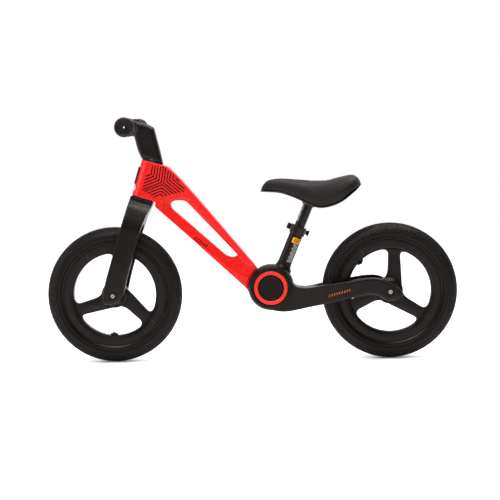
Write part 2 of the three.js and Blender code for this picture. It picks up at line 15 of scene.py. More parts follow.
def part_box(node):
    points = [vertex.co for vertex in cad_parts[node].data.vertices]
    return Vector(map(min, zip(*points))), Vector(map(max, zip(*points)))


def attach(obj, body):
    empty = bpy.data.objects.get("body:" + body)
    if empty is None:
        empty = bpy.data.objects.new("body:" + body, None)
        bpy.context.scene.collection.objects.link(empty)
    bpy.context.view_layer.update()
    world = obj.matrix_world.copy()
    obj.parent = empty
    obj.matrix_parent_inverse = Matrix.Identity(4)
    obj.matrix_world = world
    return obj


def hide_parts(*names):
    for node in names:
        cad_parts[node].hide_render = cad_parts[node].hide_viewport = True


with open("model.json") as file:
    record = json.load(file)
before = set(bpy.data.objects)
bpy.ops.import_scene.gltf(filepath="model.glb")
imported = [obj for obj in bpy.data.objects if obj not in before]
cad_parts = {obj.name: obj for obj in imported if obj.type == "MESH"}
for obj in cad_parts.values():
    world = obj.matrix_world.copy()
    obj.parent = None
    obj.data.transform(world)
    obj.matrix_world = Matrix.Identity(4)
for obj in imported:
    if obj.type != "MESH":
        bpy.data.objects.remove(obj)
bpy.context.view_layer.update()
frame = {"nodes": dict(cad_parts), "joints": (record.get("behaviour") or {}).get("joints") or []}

# ------------ driving dimensions, from the frame

MM = 0.001
SLIVER = 0.004 * MM  # corners that end up closer than this become one
GAP = 0.3  # left between a bore and what sits in it
LEFT, RIGHT = -1, 1  # the rider's left is -Y, the side that the camera sees
SIDES = (("left", LEFT), ("right", RIGHT))


def joint(name):
    return next(j for j in frame["joints"] if j["name"] == name)


def middle(node):
    """The middle of a CAD node's box, in millimetres."""
    low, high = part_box(node)
    return (low + high) / 2 / MM


def half_size(node):
    low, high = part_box(node)
    return (high - low) / 2 / MM


def placed(x, z, lean=0.0):
    """From a sub-part's own millimetres to metres: an origin in the middle plane, leaning back."""
    move = Matrix.Translation((x * MM, 0, z * MM))
    return move @ Matrix.Rotation(lean, 4, "Y") @ Matrix.Scale(MM, 4)


def lean_of(axis):
    return atan2(axis[0], axis[2])


TYRE_RADIUS = half_size("front_tyre").z
BAR_END = half_size("grip_left").y + abs(middle("grip_left").y)
HEAD_LEAN = lean_of(joint("steer")["axis"])
SEAT_LEAN = lean_of(joint("seat_height")["axis"])
FOLD = Vector(joint("fold")["pos_m"]) / MM

# Fork blades and stays, measured from the middle plane, and the holes for the axles.
LEG_INNER, LEG_OUTER = 44.5, 58.5
AXLE_BORE, NUT_BORE, NUT_FLOOR = 5.4, 7.6, 52.5

# Along and across the steering axis, from the front axle.
CROWN_TOP, HEAD_BOTTOM, HEAD_TOP, HEAD_RADIUS = 218, 220, 301, 24
STEERER_BORE, STEM_FOOT = 14.6, 302.5
BAR_X, BAR_Z, BAR_RADIUS = -64.2, 360.5, 11.1
BOLT_X, BOLT_Z, BOLT_ANGLE = -46.5, 333.5, 119.7

# The folding hub, about its axis.
SLEEVE_RADIUS, BUSH_RADIUS = 8, 12
EYE_RADIUS, EYE_HALF_WIDTH = 42, 17.5
CHEEK_INNER, CHEEK_OUTER, CHEEK_RADIUS = 18.3, 32, 50
BUTTON_RADIUS, BUTTON_FACE = 27.4, 35.4
PIN_RADIUS, PIN_DISTANCE = 3.5, 20
BEAM_HALF_WIDTH = 20

# Along and across the seat tube, from the height of the hub.
SEAT_TUBE_OFFSET = 8.2  # behind the hub's axis
TUBE_RADIUS, TUBE_TOP = 15, 139.5
POST_RADIUS, POST_BORE, POST_BOTTOM, POST_TOP = 11.1, 11.5, 84, 218
CLAMP_LOW, CLAMP_HIGH, CLAMP_RADIUS = 124, 143, 17.2
SKEWER_Y, SKEWER_Z, LEVER_X = 26, 134.5, -20.2

BIKE = placed(0, 0)
FRONT_AXLE = placed(middle("front_tyre").x, TYRE_RADIUS)
REAR_AXLE = placed(middle("rear_tyre").x, TYRE_RADIUS)
STEERING = placed(middle("front_tyre").x, TYRE_RADIUS, HEAD_LEAN)
HUB = placed(FOLD.x, FOLD.z)
SEAT_TUBE = placed(FOLD.x + SEAT_TUBE_OFFSET, FOLD.z, SEAT_LEAN)
BAR = STEERING @ Matrix.Translation((BAR_X, 0, BAR_Z))
SKEWER = SEAT_TUBE @ Matrix.Translation((0, SKEWER_Y, SKEWER_Z))

# ------------ meshes


def add_object(name, mesh):
    obj = bpy.data.objects.new(name, mesh)
    bpy.context.scene.collection.objects.link(obj)
    return obj


def shade(obj, angle=35):
    obj.data.shade_smooth()
    obj.data.set_sharp_from_angle(angle=radians(angle))
    return obj


def solid(name, points, faces, where=BIKE):
    """A closed mesh from millimetre points, with its faces turned outwards."""
    mesh = bpy.data.meshes.new(name)
    mesh.from_pydata([where @ Vector(p) for p in points], [], faces)
    work = bmesh.new()
    work.from_mesh(mesh)
    bmesh.ops.remove_doubles(work, verts=work.verts, dist=1e-7)
    bmesh.ops.recalc_face_normals(work, faces=work.faces)
    if not all(edge.is_manifold for edge in work.edges):
        raise ValueError(f"{name} is not closed")
    if work.calc_volume(signed=True) < 0:
        bmesh.ops.reverse_faces(work, faces=work.faces)
    work.to_mesh(mesh)
    work.free()
    return shade(add_object(name, mesh))


def rounded(points, steps=6):
    """A closed outline. A point is (x, y, c); c is how far from the corner its rounding starts.

    Two roundings that would meet share the edge between them.
    """
    corners = [Vector(point[:2]) for point in points]
    reaches = [point[2] if len(point) > 2 else 0 for point in points]
    loop = []
    for i, corner in enumerate(corners):
        if not reaches[i]:
            loop.append(corner)
            continue
        ends = []
        for j in (i - 1, (i + 1) % len(points)):
            edge = corners[j] - corner
            share = min(1, 0.98 * edge.length / (reaches[i] + reaches[j]))
            ends.append(corner + edge.normalized() * reaches[i] * share)
        for k in range(steps + 1):
            t = k / steps
            loop.append(ends[0] * (1 - t) ** 2 + corner * 2 * t * (1 - t) + ends[1] * t * t)
    return loop


def both_sides(points):
    """Half an outline or a profile, closed with its mirror image across y = 0."""
    return list(points) + [(p[0], -p[1], *p[2:]) for p in reversed(points)]


def mirrored(points):
    """Half an outline, closed with its mirror image across x = 0."""
    return list(points) + [(-p[0], *p[1:]) for p in reversed(points)]


def sided(profile, side):
    """A profile drawn for the right side, turned over for the left one."""
    return [(p[0], side * p[1], *p[2:]) for p in profile]


def round_bar(radius, low, high, rounding=0):
    """The profile of a plain round solid."""
    return [(0, low), (radius, low, rounding), (radius, high, rounding), (0, high)]


def ray(angle, length=1.0):
    """A step in the direction of an angle in degrees."""
    a = radians(angle)
    return Vector((length * cos(a), length * sin(a)))


def quads(rows, columns, closed=False):
    """The faces of a grid of points whose columns, and perhaps rows, go round."""
    faces = []
    for i in range(rows if closed else rows - 1):
        j = (i + 1) % rows
        for s in range(columns):
            t = (s + 1) % columns
            faces.append((i * columns + s, i * columns + t, j * columns + t, j * columns + s))
    return faces


def aimed(where, angle):
    """Turned about Y until X points up by an angle in degrees."""
    return where @ Matrix.Rotation(-radians(angle), 4, "Y")


def turned(name, profile, where, axis="Y", segments=96):
    """A profile of (radius, along) or (radius, along, rounding) turned about an axis."""
    loop = [(max(p.x, 0.0), p.y) for p in rounded(profile)]
    points = []
    for r, along in loop:
        for s in range(segments):
            a = 2 * pi * s / segments
            c, d = r * cos(a), r * sin(a)
            points.append({"X": (along, c, d), "Y": (c, along, d), "Z": (c, d, along)}[axis])
    return solid(name, points, quads(len(loop), segments, closed=profile[0][0] > 0), where)


def plate(name, outline, y0, y1, edge=0.0, where=BIKE, plane="XZ"):
    """An outline drawn from y0 to y1 across its plane, with its edges rounded off."""
    curve = bpy.data.curves.new(name, "CURVE")
    curve.dimensions, curve.fill_mode = "2D", "BOTH"
    curve.extrude, curve.bevel_depth, curve.offset = (y1 - y0) / 2 - edge, edge, -edge
    curve.bevel_resolution = 3
    spline = curve.splines.new("POLY")
    spline.points.add(len(outline) - 1)
    spline.use_cyclic_u = True
    for point, (x, y) in zip(spline.points, outline):
        point.co = (x, y, 0, 1)
    temporary = add_object(name, curve)
    mesh = bpy.data.meshes.new_from_object(temporary.evaluated_get(bpy.context.evaluated_depsgraph_get()))
    bpy.data.objects.remove(temporary)
    shift = (y0 + y1) / 2
    turn = {"XZ": lambda v: (v.x, v.z + shift, v.y), "YZ": lambda v: (v.z + shift, v.x, v.y),
            "XY": lambda v: (v.x, v.y, v.z + shift)}[plane]
    points = [turn(v.co) for v in mesh.vertices]
    return solid(name, points, [tuple(f.vertices) for f in mesh.polygons], where)


def skinned(name, rows, where=BIKE):
    """A mesh of one or more closed solids, each over a row of closed rings with equally many points."""
    points, faces = [], []
    for rings in rows:
        base, count, last = len(points), len(rings[0]), len(rings) * len(rings[0])
        ends = [tuple(range(count)), tuple(range(last - count, last))]
        faces += [tuple(base + n for n in face) for face in ends + quads(len(rings), count)]
        points += [p for ring in rings for p in ring]
    return solid(name, points, faces, where)


def baked(obj):
    """Applies an object's modifiers to its mesh."""
    bpy.context.view_layer.update()
    mesh = bpy.data.meshes.new_from_object(obj.evaluated_get(bpy.context.evaluated_depsgraph_get()))
    obj.modifiers.clear()
    obj.data = mesh
    return obj


def combine(target, operation, *tools):
    """Joins, cuts or intersects a solid with others, which are used up."""
    for tool in tools:
        step = target.modifiers.new("combine", "BOOLEAN")
        step.operation, step.solver, step.object = operation, "MANIFOLD", tool
        baked(target)
        bpy.data.objects.remove(tool)
    return target


def bored(obj, where, radius, low, high, axis="Z", segments=64):
    """Cuts a round hole."""
    bore = turned("bore", round_bar(radius, low, high), where, axis, segments)
    return combine(obj, "DIFFERENCE", bore)


def softened(obj, voxel, rounds):
    """Rebuilds a casting in fine even facets and rounds its edges, as paint and moulding do."""
    remesh = obj.modifiers.new("remesh", "REMESH")
    remesh.mode, remesh.voxel_size = "VOXEL", voxel * MM
    relax = obj.modifiers.new("relax", "SMOOTH")
    relax.factor, relax.iterations = 0.5, rounds
    return baked(obj)


def welded(obj):
    """Closes up the slivers that cutting leaves behind."""
    work = bmesh.new()
    work.from_mesh(obj.data)
    bmesh.ops.remove_doubles(work, verts=work.verts, dist=SLIVER)
    bmesh.ops.dissolve_degenerate(work, edges=work.edges, dist=SLIVER)
    work.to_mesh(obj.data)
    work.free()


def dressed(obj, material, body, slot, *replaces, angle=35):
    """Finishes a piece: its material, the body it rides on and the CAD nodes it stands for."""
    welded(obj)
    obj.data.materials.clear()
    obj.data.materials.append(material)
    shade(obj, angle)
    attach(obj, body)
    if replaces:
        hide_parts(*replaces)
    return obj


def tube_loop(name, loop, radius, y, sides=6):
    """A thin closed tube along a closed outline in the plane at y."""
    points = []
    for i, here in enumerate(loop):
        heading = (loop[(i + 1) % len(loop)] - loop[i - 1]).normalized()
        outward = Vector((heading.y, -heading.x))
        for s in range(sides):
            a = 2 * pi * s / sides
            at = here + outward * radius * cos(a)
            points.append((at.x, y + radius * sin(a), at.y))
    return solid(name, points, quads(len(loop), sides, closed=True))


def wrapped(name, bricks, where, depth):
    """Thin curved bricks on a tube about Z: (radius, from angle, to angle, low, high), angles from -X."""
    rows = []
    for radius, start, end, low, high in bricks:
        steps = max(2, round(abs(end - start) / 4))
        angles = [start + (end - start) * k / steps for k in range(steps + 1)]
        inner = radius - depth
        section = [(inner, low), (inner, high), (radius, high), (radius, low)]
        rows.append([[(*ray(a, -r), z) for r, z in section] for a in angles])
    return skinned(name, rows, where)


def printed(name, strokes, target, side, height=0.25, cell=1.6):
    """Thin raised print on the side of a piece. A stroke is four corners in X and Z of the bike."""
    work = bmesh.new()
    work.from_mesh(target.data)
    surface = BVHTree.FromBMesh(work)
    work.free()
    rows = []
    for corners in strokes:
        a, b, c, d = [Vector(p) for p in corners]
        across = max(1, round((b - a).length / cell))
        along = max(1, round((d - a).length / cell))
        rings = []
        for i in range(along + 1):
            skin = []
            for k in range(across + 1):
                u, v = k / across, i / along
                p = (a * (1 - u) + b * u) * (1 - v) + (d * (1 - u) + c * u) * v
                hit = surface.ray_cast(Vector((p.x, side * 200, p.y)) * MM, Vector((0, -side, 0)))[0]
                if hit is None:
                    raise ValueError(f"{name} leaves the surface at {p}")
                skin.append((p.x, hit.y / MM + side * height, p.y))
            rings.append(skin + [(x, y - side * (height + 0.5), z) for x, y, z in reversed(skin)])
        rows.append(rings)
    return skinned(name, rows)


def line(start, end, width):
    """The four corners of a straight stroke."""
    start, end = Vector(start), Vector(end)
    heading = (end - start).normalized()
    half = Vector((-heading.y, heading.x)) * width / 2
    return start - half, start + half, end + half, end - half


# ------------ materials

WARM = (1.0, 0.86, 0.83, 1.0)  # the tint of a dark surface's highlights


class Nodes:
    """Shader nodes, made and joined by the names of their sockets."""

    def __init__(self, tree):
        self.tree = tree

    def node(self, kind, **inputs):
        made = self.tree.nodes.new(kind)
        for socket, value in inputs.items():
            self.feed(made.inputs[socket.replace("_", " ")], value)
        return made

    def feed(self, socket, value):
        if isinstance(value, bpy.types.NodeSocket):
            self.tree.links.new(value, socket)
        else:
            socket.default_value = value

    def spread(self, value, low, high, start=0.35, end=0.65):
        """Maps a value from start..end to low..high, held at its ends."""
        return self.node("ShaderNodeMapRange", Value=value, From_Min=start, From_Max=end,
                         To_Min=low, To_Max=high).outputs[0]


class Look(Nodes):
    """A procedural material, built up from noise in the piece's own coordinates."""

    def __init__(self, name, roughness, **fixed):
        self.material = bpy.data.materials.new(name)
        self.material.use_nodes = True
        super().__init__(self.material.node_tree)
        self.shader = self.tree.nodes["Principled BSDF"]
        self.shader.inputs["Roughness"].default_value = roughness
        self.shader.inputs["Specular Tint"].default_value = WARM
        for socket, value in fixed.items():
            self.shader.inputs[socket.replace("_", " ")].default_value = value
        self.place = self.node("ShaderNodeTexCoord").outputs["Object"]
        self.height = None

    def stretched(self, scale):
        return self.node("ShaderNodeMapping", Vector=self.place, Scale=scale).outputs[0]

    def noise(self, scale, detail=3.0, place=None):
        place = place or self.place
        return self.node("ShaderNodeTexNoise", Vector=place, Scale=scale, Detail=detail).outputs[0]

    def sums(self, operation, *values):
        made = self.node("ShaderNodeMath")
        made.operation = operation
        for socket, value in zip(made.inputs, values):
            self.feed(socket, value)
        return made.outputs[0]

    def mixed(self, share, first, second):
        made = self.node("ShaderNodeMix")
        made.data_type = "RGBA"
        self.feed(made.inputs["Factor"], share)
        self.feed(made.inputs[6], first)
        self.feed(made.inputs[7], second)
        return made.outputs[2]

    def colours(self, first, second, scale, edge=None):
        """Two close tones in soft clouds, and a paler tone on sharp edges, which is a painted highlight.
        """
        clouds = self.spread(self.noise(scale), 0, 1)
        colour = self.mixed(clouds, (*first, 1), (*second, 1))
        if edge:
            pointed = self.node("ShaderNodeNewGeometry").outputs["Pointiness"]
            # Painted highlight: sharp edges, found by pointiness, take the paler edge tone.
            painted_edge_highlight = self.spread(pointed, 0, 0.5, 0.515, 0.60)
            colour = self.mixed(painted_edge_highlight, colour, (*edge, 1))
        self.feed(self.shader.inputs["Base Color"], colour)
        return self

    def gloss(self, low, high, scale):
        self.feed(self.shader.inputs["Roughness"], self.spread(self.noise(scale, 5.0), low, high))
        return self

    def relief(self, value, distance, strength=1.0):
        """A bump of the given depth in millimetres, laid over the ones before it."""
        made = self.node("ShaderNodeBump", Height=value, Distance=distance * MM, Strength=strength)
        if self.height:
            self.feed(made.inputs["Normal"], self.height)
        self.height = made.outputs[0]
        self.feed(self.shader.inputs["Normal"], self.height)
        return self

    def grain(self, scale, distance, detail=2.0):
        return self.relief(self.noise(scale, detail), distance)

    def pebbles(self, scale, distance):
        cells = self.node("ShaderNodeTexVoronoi", Vector=self.place, Scale=scale)
        cells.feature = "DISTANCE_TO_EDGE"
        return self.relief(self.spread(cells.outputs["Distance"], 0, 1, 0.0, 0.25), distance)


# In each look below, the edge tone is a painted highlight on sharp edges.
def red_paint():
    look = Look("red gloss paint", 0.3, Coat_Weight=0.1, Coat_Roughness=0.3, Specular_IOR_Level=0.15)
    look.colours((0.67, 0.010, 0.008), (0.62, 0.009, 0.007), 9, edge=(0.80, 0.045, 0.03))
    return look.gloss(0.27, 0.38, 60).grain(900, 0.008).grain(60, 0.03).material


def black_casting():
    look = Look("black powder coat", 0.4, Specular_IOR_Level=0.19)
    look.colours((0.0050, 0.0040, 0.0037), (0.0036, 0.0029, 0.0027), 14, edge=(0.030, 0.027, 0.026))
    return look.gloss(0.31, 0.42, 45).grain(1500, 0.04).grain(300, 0.03).material


def wheel_plastic():
    look = Look("black glass-filled nylon", 0.4, Specular_IOR_Level=0.2)
    look.colours((0.0048, 0.0037, 0.0036), (0.0034, 0.0027, 0.0026), 11, edge=(0.030, 0.027, 0.026))
    return look.gloss(0.30, 0.42, 30).grain(1100, 0.05).material


def tyre_rubber():
    look = Look("tyre rubber", 0.5, Specular_IOR_Level=0.13)
    look.colours((0.0042, 0.0034, 0.0031), (0.0030, 0.0024, 0.0022), 18, edge=(0.035, 0.032, 0.030))
    return look.gloss(0.38, 0.52, 25).grain(700, 0.06).grain(90, 0.05).material


def grip_rubber():
    look = Look("soft grip rubber", 0.45, Specular_IOR_Level=0.3)
    look.colours((0.0036, 0.0032, 0.0031), (0.0026, 0.0023, 0.0022), 25, edge=(0.035, 0.034, 0.033))
    return look.gloss(0.34, 0.5, 60).pebbles(1400, 0.02).material


def dark_steel():
    look = Look("black oxide steel", 0.35, Metallic=0.1, Specular_IOR_Level=0.24)
    look.colours((0.0065, 0.0058, 0.0055), (0.0045, 0.0040, 0.0038), 30, edge=(0.06, 0.057, 0.055))
    lines = look.noise(1, 2, look.stretched((1500, 80, 1500)))
    return look.gloss(0.3, 0.45, 120).relief(lines, 0.01).material


def bright_steel():
    look = Look("brushed steel", 0.3, Metallic=1)
    look.colours((0.42, 0.385, 0.36), (0.32, 0.29, 0.27), 60, edge=(0.6, 0.57, 0.54))
    lines = look.noise(1, 2, look.stretched((2500, 150, 2500)))
    return look.gloss(0.24, 0.42, 200).relief(lines, 0.015).material


def zinc():
    look = Look("zinc plate", 0.5, Metallic=0.3)
    look.colours((0.27, 0.24, 0.21), (0.20, 0.175, 0.15), 90, edge=(0.42, 0.38, 0.34))
    return look.gloss(0.4, 0.55, 150).grain(900, 0.03).material


def bronze():
    look = Look("sintered bronze", 0.45, Metallic=1)
    look.colours((0.45, 0.31, 0.14), (0.33, 0.22, 0.10), 80, edge=(0.6, 0.45, 0.25))
    return look.gloss(0.38, 0.55, 90).grain(1200, 0.03).material


def saddle_cover():
    look = Look("saddle cover", 0.5, Specular_IOR_Level=0.17, Sheen_Weight=0.02, Sheen_Roughness=0.4)
    look.colours((0.0075, 0.0065, 0.0062), (0.0058, 0.0050, 0.0048), 22)
    return look.gloss(0.46, 0.6, 35).pebbles(780, 0.09).grain(2500, 0.02).material


def shell_plastic():
    look = Look("saddle shell plastic", 0.4, Specular_IOR_Level=0.24)
    look.colours((0.0065, 0.0058, 0.0055), (0.0048, 0.0043, 0.0041), 25, edge=(0.07, 0.065, 0.063))
    return look.gloss(0.34, 0.48, 50).grain(1300, 0.04).material


def satin_plastic(name, tone, roughness, grain=0.04):
    look = Look(name, roughness, Specular_IOR_Level=0.16)
    dim = tuple(0.72 * c for c in tone)
    # pale is the painted highlight tone for sharp edges.
    pale = tuple(min(1, 1.15 * c + 0.012) for c in tone)
    look.colours(tone, dim, 30, edge=pale)
    return look.gloss(roughness - 0.06, roughness + 0.08, 70).grain(1400, grain).material


def ink(name, tone, roughness=0.45):
    look = Look(name, roughness, Specular_IOR_Level=0.15)
    look.colours(tone, tuple(0.82 * c for c in tone), 120)
    return look.gloss(roughness - 0.08, roughness + 0.1, 400).grain(3000, 0.01).material


RED = red_paint()
CASTING = black_casting()
NYLON = wheel_plastic()
RUBBER = tyre_rubber()
GRIP = grip_rubber()
DARK_STEEL = dark_steel()
STEEL = bright_steel()
ZINC = zinc()
BRONZE = bronze()
COVER = saddle_cover()
SHELL = shell_plastic()
BUTTON = satin_plastic("button plastic", (0.0032, 0.0029, 0.0032), 0.5)
TRIM = satin_plastic("hub trim plastic", (0.0034, 0.0032, 0.0033), 0.42)
BADGE = satin_plastic("badge plastic", (0.005, 0.005, 0.0052), 0.25, 0.01)
HUB_RED = satin_plastic("hub ring plastic", (0.78, 0.030, 0.022), 0.36)
BLACK_INK = ink("black print", (0.006, 0.003, 0.004))
RED_INK = ink("orange red print", (0.62, 0.085, 0.03))
GREY_INK = ink("grey print", (0.30, 0.29, 0.28))
YELLOW_INK = ink("amber label", (0.86, 0.38, 0.02))
WHITE_INK = ink("white print", (0.72, 0.71, 0.69))

# ------------ wheels

TREAD_ROWS, TREAD_BLOCKS, TREAD_DEPTH, TREAD_GAP = 20, 288, 1.4, 0.38
TREAD_START, TREAD_END = radians(9), radians(171)
CARCASS = (124.0, 22.0, 22.8)  # centre of the section, and its half height and half width
CASING = 4  # its thickness
HOOP_INNER, SPOKE_COUNT, SPOKE_OFFSET = 91, 3, 11
BEARING_RADIUS, BEARING_START, BEARING_END = 12, 30, 37
SPOKE_STEP = 360 / SPOKE_COUNT


def tyre(prefix, where):
    """A hollow casing, ringed sidewalls, and a tread of small staggered blocks raised from it."""
    centre, tall, wide = CARCASS
    wall = [(105, 14.7), (113.2, 14.7), (117.1, 16.0), (117.3, 18.6), (118.2, 20.8), (118.9, 21.9),
            (120.8, 22.3), (121.8, 21.9), (122.6, 22.2), (124.2, 22.7)]
    tread = []
    for i in range(TREAD_ROWS + 1):
        a = TREAD_START + (TREAD_END - TREAD_START) * i / TREAD_ROWS
        tread.append((centre + tall * sin(a), -wide * cos(a)))
    inside = []
    for i in range(17):
        a = radians(190 - 200 * i / 16)
        inside.append((centre + (tall - CASING) * sin(a), -(wide - CASING) * cos(a)))
    profile = ([(r, -y) for r, y in wall] + tread + list(reversed(wall))
               + [(105, 10.5)] + inside + [(105, -10.5)])
    obj = turned(f"{prefix}_tyre_rubber", profile, where, segments=TREAD_BLOCKS)
    work = bmesh.new()
    work.from_mesh(obj.data)
    work.faces.ensure_lookup_table()
    blocks = []
    for i in range(TREAD_ROWS):
        central = abs(i + 0.5 - TREAD_ROWS / 2) < 3
        for s in range(TREAD_BLOCKS):
            if (s + i) % (3 if central else 2):
                blocks.append(work.faces[(len(wall) + i) * TREAD_BLOCKS + s])
    bmesh.ops.inset_individual(work, faces=blocks, thickness=TREAD_GAP * MM, depth=TREAD_DEPTH * MM)
    work.to_mesh(obj.data)
    work.free()
    dressed(obj, RUBBER, f"{prefix}_wheel", "tyre", f"{prefix}_tyre", angle=50)


def star(first, offset):
    """The outline of three broad spokes whose middle lines pass beside the axle."""
    def at(angle, along, across):
        u = ray(angle)
        return u * along + Vector((-u.y, u.x)) * across

    def half(along):
        return 13.25 + (75 - along) * tan(radians(2.7))

    points = []
    for k in range(SPOKE_COUNT):
        here, following = first + SPOKE_STEP * k, first + SPOKE_STEP * (k + 1)
        near = [(-1, 0, HOOP_INNER - 1.8, 13.5), (-1, 22, HOOP_INNER - 0.2, 0),
                (-1, 22, HOOP_INNER + 10, 0)]
        for side, extra, radius, c in near + [(1, *rest) for _, *rest in reversed(near)]:
            across = offset + side * (half(HOOP_INNER) + extra)
            points.append((*at(here, sqrt(radius ** 2 - across ** 2), across), c))
        p, q = at(here, 20, offset + half(20)), at(here, 80, offset + half(80))
        r, s = at(following, 20, offset - half(20)), at(following, 80, offset - half(80))
        d, e = q - p, s - r
        t = ((r - p).x * e.y - (r - p).y * e.x) / (d.x * e.y - d.y * e.x)
        points.append((*(p + d * t), 15))
    return rounded(points, 8)


def wheel_casting(prefix, where, first, offset, valve_angle):
    """Hoop, three spokes and hub barrel, moulded in one, with bearing seats and a valve hole."""
    rim = [(90, 12.0, 1.0), (92.5, 15.0, 1.0), (96.4, 16.1, 0.3), (97.2, 17.2, 0.4),
           (110.2, 17.5, 0.5), (111.2, 15.9, 0.3), (112.4, 15.9, 0.4), (116.2, 18.8, 0.3),
           (116.7, 18.8, 0.2), (116.7, 16.2, 0.4), (113, 15.0, 0.3), (104, 14.9, 2.0), (100, 9.5, 2.0)]
    hoop = turned(f"{prefix}_wheel_casting", both_sides(rim), where, segments=144)
    spokes = plate("spokes", star(first, offset), -9, 9, 2.6, where)
    barrel = [(0, -37), (19.5, -37, 1.2), (19.5, -24, 2), (21, -19.5, 3), (29, -13.5, 2)]
    combine(hoop, "UNION", spokes, turned("barrel", both_sides(barrel), where))
    bored(hoop, where, 6.5, -40, 40, "Y", 48)
    for side in (LEFT, RIGHT):
        bored(hoop, where, BEARING_RADIUS + 0.2, side * (BEARING_START - 0.6), side * 40, "Y")
    bored(hoop, aimed(where, valve_angle), 3.6, 80, 110, "X", 32)
    dressed(hoop, NYLON, f"{prefix}_wheel", "wheel", f"{prefix}_rim", angle=28)


def valve(prefix, where, angle):
    profile = [(0, 83.2), (2.6, 83.2, 0.4), (3.1, 84.2, 0.3), (3.1, 85.0, 0.2), (6.6, 85.2, 0.6),
               (8.8, 88.2, 0.5), (8.8, 89.2, 0.3), (3.2, 89.3, 0.1), (3.2, 101.5), (0, 101.5)]
    obj = turned(f"{prefix}_valve_stem", profile, aimed(where, angle), axis="X", segments=40)
    dressed(obj, NYLON, f"{prefix}_wheel", "valve", f"{prefix}_valve")


def bearing(prefix, where, name, side):
    """A sealed bearing: outer ring, dished seal and inner ring."""
    near, far = BEARING_START, BEARING_END
    half = [(AXLE_BORE, near), (BEARING_RADIUS, near, 0.4), (BEARING_RADIUS, far, 0.4), (10.6, far, 0.2),
            (10.2, far - 0.6, 0.2), (8.0, far - 0.6, 0.2), (7.6, far, 0.2), (AXLE_BORE, far, 0.3)]
    obj = turned(f"{prefix}_bearing_race_{name}", sided(half, side), where, segments=64)
    dressed(obj, STEEL, f"{prefix}_wheel", "steel", f"{prefix}_bearing_{name}")


def steel_part(name, profile, where, body, node, axis="Y", segments=96):
    """A turned part in black steel."""
    obj = turned(name, profile, where, axis, segments)
    return dressed(obj, DARK_STEEL, body, "dark_steel", node)


def axle(prefix, where, body):
    """The fixed rod with its domed bolt ends, spacers beside the hub, and nuts sunk in the legs."""
    rod = [(0, -60.2), (1.0, -60.2), (1.1, -60.9, 0.1), (4.5, -60.2, 0.7), (4.7, -58.8, 0.3),
           (5.0, -57.0, 0.4)]
    obj = turned(f"{prefix}_axle_rod", both_sides(rod), where, segments=48)
    dressed(obj, ZINC, body, "steel", f"{prefix}_axle")
    sleeve = [(5.3, 37.3), (7.8, 37.3, 0.3), (8.5, 38.6, 0.4), (8.5, 43.0, 0.4), (7.8, 44.2, 0.3),
              (5.3, 44.2)]
    cap = [(5.3, 52.8), (7.1, 52.8, 0.2), (7.1, 53.4, 0.3), (6.2, 53.8, 0.2), (5.3, 53.8, 0.2)]
    for name, side in SIDES:
        steel_part(f"{prefix}_spacer_sleeve_{name}", sided(sleeve, side), where, body,
                   f"{prefix}_spacer_{name}")
        steel_part(f"{prefix}_nut_ring_{name}", sided(cap, side), where, body, f"{prefix}_nut_{name}",
                   segments=48)


def wheel(prefix, where, frame_body, first, offset, valve_angle):
    tyre(prefix, where)
    wheel_casting(prefix, where, first, offset, valve_angle)
    valve(prefix, where, valve_angle)
    for name, side in SIDES:
        bearing(prefix, where, name, side)
    axle(prefix, where, frame_body)


wheel("front", FRONT_AXLE, "steering", 75, SPOKE_OFFSET, 267.5)
wheel("rear", REAR_AXLE, "rear", 90, -SPOKE_OFFSET, 135.5)

# ------------ fork, stem and handlebar


def axle_holes(obj, where):
    bored(obj, where, AXLE_BORE, -70, 70, "Y")
    bored(obj, where, NUT_BORE, -70, -NUT_FLOOR, "Y")
    bored(obj, where, NUT_BORE, NUT_FLOOR, 70, "Y")


def fork():
    side = rounded([(-24.5, CROWN_TOP), (-24.5, 30, 12), (-23, 8, 8), (-19, -17, 4), (-13, -22.3, 5),
                    (3, -19.5, 8), (16, -8.5, 6), (22, 6, 5), (19, 48, 10), (17.5, 145, 12),
                    (20, 184, 10), (25.5, 210, 3), (25.5, CROWN_TOP)])
    front = rounded(mirrored([(LEG_OUTER, -30), (LEG_OUTER, 60, 20), (54, 160, 20), (40, 196, 12),
                              (24, 209, 5), (24, CROWN_TOP)]))
    arch = rounded(mirrored([(LEG_INNER, -31), (LEG_INNER, 60, 20), (40, 146, 14), (28, 164, 12)]))
    obj = plate("fork_casting", side, -LEG_OUTER, LEG_OUTER, 4.5, STEERING)
    combine(obj, "INTERSECT", plate("front", front, -60, 60, 0, STEERING, "YZ"))
    combine(obj, "DIFFERENCE", plate("arch", arch, -60, 60, 0, STEERING, "YZ"))
    softened(obj, 1.15, 4)
    axle_holes(obj, STEERING)
    bored(obj, STEERING, STEERER_BORE, 171.7, CROWN_TOP + 5)
    return dressed(obj, CASTING, "steering", "black_casting", "fork", angle=60)


def bolt_place():
    """The clamp bolt, sunk in the front of the stem and pointing down and forward."""
    return aimed(STEERING @ Matrix.Translation((BOLT_X, 0, BOLT_Z)), BOLT_ANGLE)


def stem():
    neck = rounded([(-25, STEM_FOOT), (24, STEM_FOOT), (4.1, 337.4, 10), (-17.4, 373.6, 3),
                    (-35, 377.5, 8), (BAR_X, 376.5), (BAR_X, BAR_Z), (-56, 349, 6), (-37.3, 316.5, 12)])
    foot = [(0, STEM_FOOT), (23.6, STEM_FOOT, 0.4), (18, 311, 3), (8, 322), (0, 322)]
    obj = plate("stem_casting", neck, -20, 20, 9, STEERING)
    combine(obj, "UNION", turned("bar head", round_bar(16, -23, 23, 3), BAR),
            turned("foot", foot, STEERING, "Z"))
    softened(obj, 0.9, 5)
    bored(obj, BAR, 11.5, -30, 30, "Y")
    bored(obj, STEERING, STEERER_BORE, 300, 318.3)
    bored(obj, bolt_place(), 5.1, -12.2, 8, "Z", 48)
    return dressed(obj, CASTING, "steering", "black_casting", "stem", angle=60)


